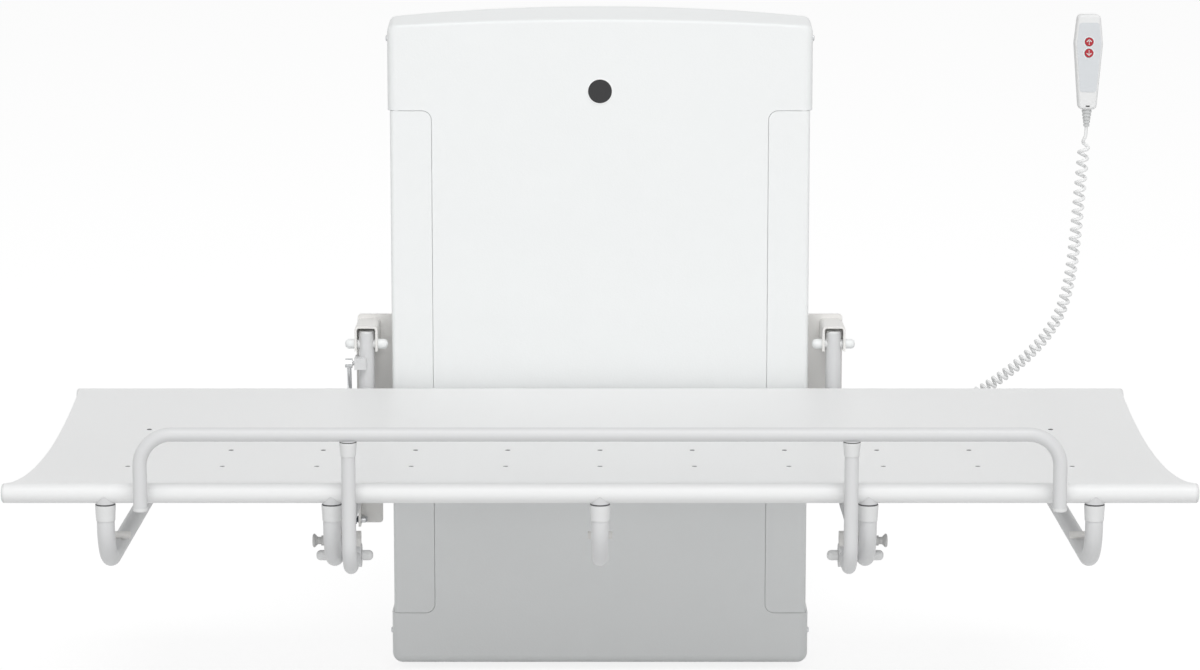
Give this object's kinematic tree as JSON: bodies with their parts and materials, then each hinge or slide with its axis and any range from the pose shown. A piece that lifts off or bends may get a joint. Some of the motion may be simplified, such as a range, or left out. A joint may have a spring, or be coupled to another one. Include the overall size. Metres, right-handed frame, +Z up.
{
  "type": "shower changing table",
  "caption": "Wall-mounted folding changing table with a dished lying surface on a tube frame, a fold-down safety rail, an electric lifting unit and a corded handset.",
  "frame": {"origin": "centre of the four wall bolts, on the wall face, 580 mm above the floor", "axes": "+X to the right along the table, +Y into the wall, +Z up; the front faces -Y"},
  "size_m": [1.8, 0.98, 1.1559],
  "materials": {
    "cover_white": "white satin",
    "sheet_white": "smooth white sheet",
    "paint_white": "white powder coat",
    "paint_grey": "warm grey powder coat",
    "zinc": "zinc plated",
    "plastic_white": "white moulded plastic",
    "rubber_black": "black rubber",
    "plastic_grey": "grey moulded plastic",
    "plastic_dark": "charcoal plastic",
    "aluminium": "anodised",
    "foil": "printed foil",
    "key_red": "red moulded",
    "cord": "pale grey cord"
  },
  "bodies": {
    "unit": {"left_column": "aluminium", "right_column": "aluminium", "feet": "rubber_black", "top_crossmember": "zinc", "bottom_crossmember": "zinc", "front_cover": "cover_white", "left_side_panel": "cover_white", "right_side_panel": "cover_white", "cover_screws": "zinc", "cover_badge": "plastic_dark", "gearbox": "aluminium", "lift_motor": "aluminium", "spindle_bearing": "aluminium", "control_box": "plastic_dark", "handset_hook": "zinc", "cord_gland": "plastic_grey", "curly_cord": "cord"},
    "spindle": {"lift_spindle": "zinc"},
    "carriage": {"carriage_beam": "zinc", "spindle_nut": "plastic_grey", "guide_shoes": "plastic_grey", "left_bracket": "paint_grey", "right_bracket": "paint_grey", "pivot_bolts": "plastic_white", "gas_spring_stud": "zinc"},
    "strut_cylinder": {"gas_spring_cylinder": "plastic_dark"},
    "strut_rod": {"gas_spring_rod": "zinc"},
    "table": {"lying_surface": "sheet_white", "front_roll_tube": "zinc", "rear_roll_tube": "zinc", "roll_caps": "plastic_white", "left_cross_tube": "paint_white", "centre_cross_tube": "paint_white", "right_cross_tube": "paint_white", "left_arm": "paint_white", "right_arm": "paint_white", "frame_saddles": "plastic_grey", "frame_gaskets": "rubber_black", "frame_collars": "plastic_white", "cross_pegs": "paint_grey", "arm_plugs": "plastic_white", "pivot_bushes": "plastic_white", "gas_spring_lug": "paint_white", "hinge_spacers": "zinc", "hinge_bolts": "plastic_white", "latch_housings": "plastic_grey"},
    "rail": {"rail_tube": "paint_white", "rail_plugs": "plastic_white", "left_post": "paint_white", "right_post": "paint_white", "post_collars": "plastic_white", "post_gaskets": "rubber_black", "lock_cams": "paint_grey"},
    "left_knob": {"left_latch_knob": "plastic_grey"},
    "right_knob": {"right_latch_knob": "plastic_grey"},
    "handset": {"handset_shell": "plastic_white", "keypad_foil": "foil", "strain_relief": "plastic_grey"},
    "up_key": {"up_button": "key_red"},
    "down_key": {"down_button": "key_red"}
  },
  "joints": [
    {"name": "carriage_lift", "type": "slide", "parent": "unit", "child": "carriage", "axis": [0, 0, 1], "range_m": [-0.15, 0.5]},
    {"name": "spindle_turn", "type": "hinge", "parent": "unit", "child": "spindle", "pos_m": [0, -0.062, 0], "axis": [0, 0, 1], "range_deg": [-5420, 18020]},
    {"name": "table_fold", "type": "hinge", "parent": "carriage", "child": "table", "pos_m": [0, -0.115, -0.003], "axis": [-1, 0, 0], "range_deg": [0, 90]},
    {"name": "rail_fold", "type": "hinge", "parent": "table", "child": "rail", "pos_m": [0, -0.85, -0.203], "axis": [1, 0, 0], "range_deg": [0, 180]},
    {"name": "left_latch_pull", "type": "slide", "parent": "table", "child": "left_knob", "axis": [-1, 0, 0], "range_m": [0, 0.008], "stiffness_N_per_m": 800},
    {"name": "right_latch_pull", "type": "slide", "parent": "table", "child": "right_knob", "axis": [1, 0, 0], "range_m": [0, 0.008], "stiffness_N_per_m": 800},
    {"name": "gas_spring_swing", "type": "hinge", "parent": "carriage", "child": "strut_cylinder", "pos_m": [-0.434, -0.06, -0.326], "axis": [1, 0, 0], "range_deg": [-0.2, 1.79]},
    {"name": "gas_spring_extend", "type": "slide", "parent": "strut_cylinder", "child": "strut_rod", "axis": [0, -0.2244, 0.9745], "range_m": [-0.001, 0.0485]},
    {"name": "handset_lift", "type": "slide", "parent": "unit", "child": "handset", "axis": [0, 0, 1], "range_m": [0, 0.035], "deforming": ["curly_cord"]},
    {"name": "up_press", "type": "slide", "parent": "handset", "child": "up_key", "axis": [0, 1, 0], "range_m": [0, 0.0008], "stiffness_N_per_m": 2000},
    {"name": "down_press", "type": "slide", "parent": "handset", "child": "down_key", "axis": [0, 1, 0], "range_m": [0, 0.0008], "stiffness_N_per_m": 2000}
  ],
  "couplings": [
    {"joint": "spindle_turn", "follows": "carriage_lift", "rad_per_m": 628.32},
    {"joint": "gas_spring_swing", "follows": "table_fold", "ratio": 0.017693},
    {"joint": "gas_spring_extend", "follows": "table_fold", "m_per_rad": 0.030239}
  ]
}
